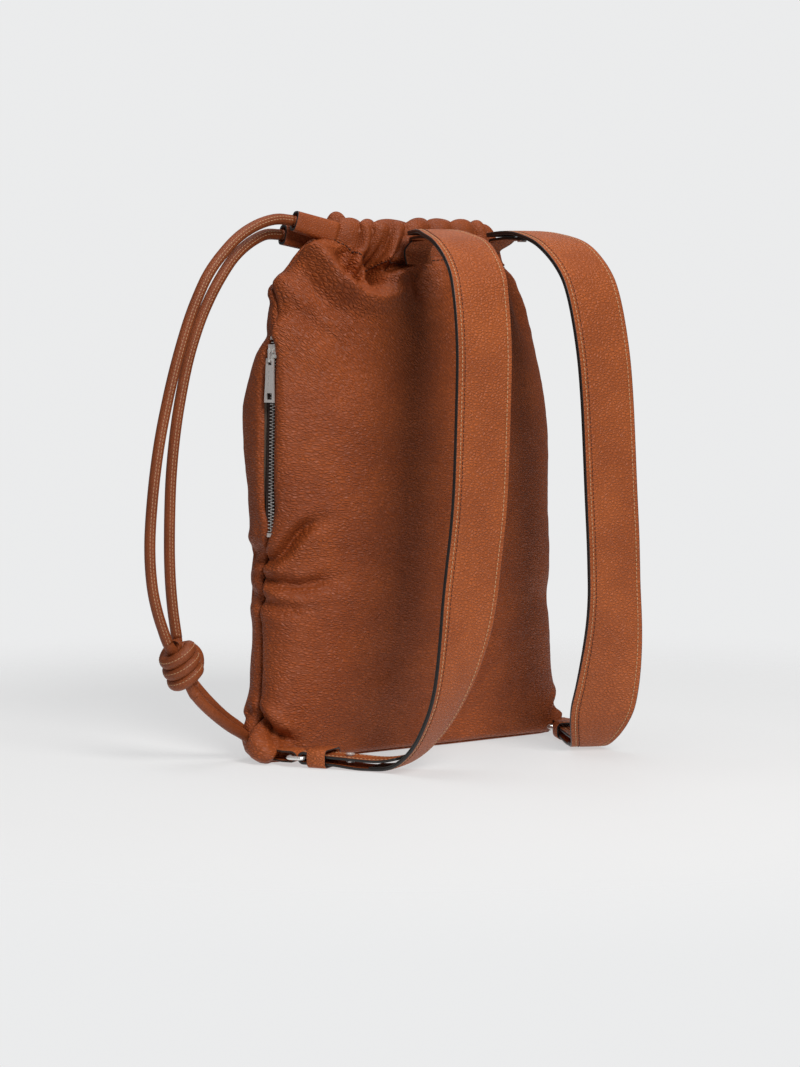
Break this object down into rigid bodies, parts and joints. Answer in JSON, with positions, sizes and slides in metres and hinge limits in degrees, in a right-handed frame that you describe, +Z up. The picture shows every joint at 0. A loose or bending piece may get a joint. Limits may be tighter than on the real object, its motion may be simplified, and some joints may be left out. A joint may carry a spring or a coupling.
{
  "type": "drawstring backpack",
  "caption": "Soft leather sack backpack with a gathered drawstring mouth, a knotted cord down one side, a side zip and wide looped shoulder straps held by corner rings.",
  "frame": {"origin": "on the floor, under the middle of the base panel", "axes": "+Z up, -Y towards the shoulder straps, -X towards the zip and the drawstring"},
  "size_m": [0.4337, 0.253, 0.4486],
  "materials": {
    "panel_leather": "soft pebbled grain",
    "strap_leather": "pebbled grain with painted dark edges",
    "strap_lining": "smooth matt",
    "cord_leather": "rolled and stitched",
    "lining_fabric": "plain cotton",
    "zip_tape": "woven",
    "board": "plain",
    "nickel": "polished nickel"
  },
  "bodies": {
    "bag": {"back_panel": "panel_leather", "front_panel": "panel_leather", "base_panel": "panel_leather", "base_board": "board", "lining_base": "lining_fabric", "lining_back": "lining_fabric", "lining_front": "lining_fabric", "casing": "panel_leather", "cord_in_casing": "cord_leather", "sleeve_back": "strap_leather", "sleeve_front": "strap_leather", "zip_tape_back": "zip_tape", "zip_tape_front": "zip_tape", "zip_teeth_back": "nickel", "zip_teeth_front": "nickel", "zip_top_stop_back": "nickel", "zip_top_stop_front": "nickel", "zip_bottom_stop": "nickel", "left_corner_tab": "strap_leather", "right_corner_tab": "strap_leather"},
    "drawstring": {"cord_upper_back": "cord_leather", "cord_upper_front": "cord_leather", "cord_lower_back": "cord_leather", "cord_lower_front": "cord_leather", "cord_knot": "cord_leather"},
    "slider": {"zip_slider": "nickel"},
    "pull_link": {"zip_pull_link": "nickel"},
    "pull_tab": {"zip_pull_tab": "nickel"},
    "left_strap_body": {"left_strap": "strap_leather", "left_strap_lining": "strap_lining", "left_strap_anchor": "strap_leather", "left_anchor_rivet": "nickel", "left_stud": "nickel"},
    "left_ring_body": {"left_ring": "nickel"},
    "left_keeper_body": {"left_keeper": "strap_leather"},
    "right_strap_body": {"right_strap": "strap_leather", "right_strap_lining": "strap_lining", "right_strap_anchor": "strap_leather", "right_anchor_rivet": "nickel", "right_stud": "nickel"},
    "right_ring_body": {"right_ring": "nickel"},
    "right_keeper_body": {"right_keeper": "strap_leather"}
  },
  "joints": [
    {"name": "zip_slide", "type": "slide", "parent": "bag", "child": "slider", "axis": [-0.0354, -0.0143, -0.9993], "range_m": [0, 0.128]},
    {"name": "pull_link_hinge", "type": "hinge", "parent": "slider", "child": "pull_link", "pos_m": [-0.14504, -0.01803, 0.33616], "axis": [-0.3746, 0.9272, 0], "range_deg": [0, 80]},
    {"name": "pull_tab_hinge", "type": "hinge", "parent": "pull_link", "child": "pull_tab", "pos_m": [-0.1457, -0.01829, 0.32938], "axis": [-0.3746, 0.9272, 0], "range_deg": [0, 80]},
    {"name": "drawstring_swing", "type": "hinge", "parent": "bag", "child": "drawstring", "pos_m": [-0.11375, 0.0005, 0.4364], "axis": [-0.1127, 0.0133, -0.9935], "range_deg": [-5, 8]},
    {"name": "left_strap_swing", "type": "hinge", "parent": "bag", "child": "left_strap_body", "pos_m": [-0.0135, -0.0485, 0.415], "axis": [-0.2903, -0.0035, -0.9569], "range_deg": [-5, 8]},
    {"name": "left_ring_pivot", "type": "hinge", "parent": "left_strap_body", "child": "left_ring_body", "pos_m": [-0.13395, -0.05574, 0.00795], "axis": [0.8829, 0.4695, 0], "range_deg": [-6, 6]},
    {"name": "left_keeper_slide", "type": "slide", "parent": "left_strap_body", "child": "left_keeper_body", "axis": [0.4689, -0.8818, -0.05], "range_m": [0, 0.008]},
    {"name": "right_strap_swing", "type": "hinge", "parent": "bag", "child": "right_strap_body", "pos_m": [0.071, -0.0455, 0.414], "axis": [0.184, -0.0109, -0.9829], "range_deg": [-5, 8]},
    {"name": "right_ring_pivot", "type": "hinge", "parent": "right_strap_body", "child": "right_ring_body", "pos_m": [0.14395, -0.05574, 0.00795], "axis": [0.8829, -0.4695, 0], "range_deg": [-6, 6]},
    {"name": "right_keeper_slide", "type": "slide", "parent": "right_strap_body", "child": "right_keeper_body", "axis": [-0.4689, -0.8818, -0.05], "range_m": [0, 0.008]}
  ]
}
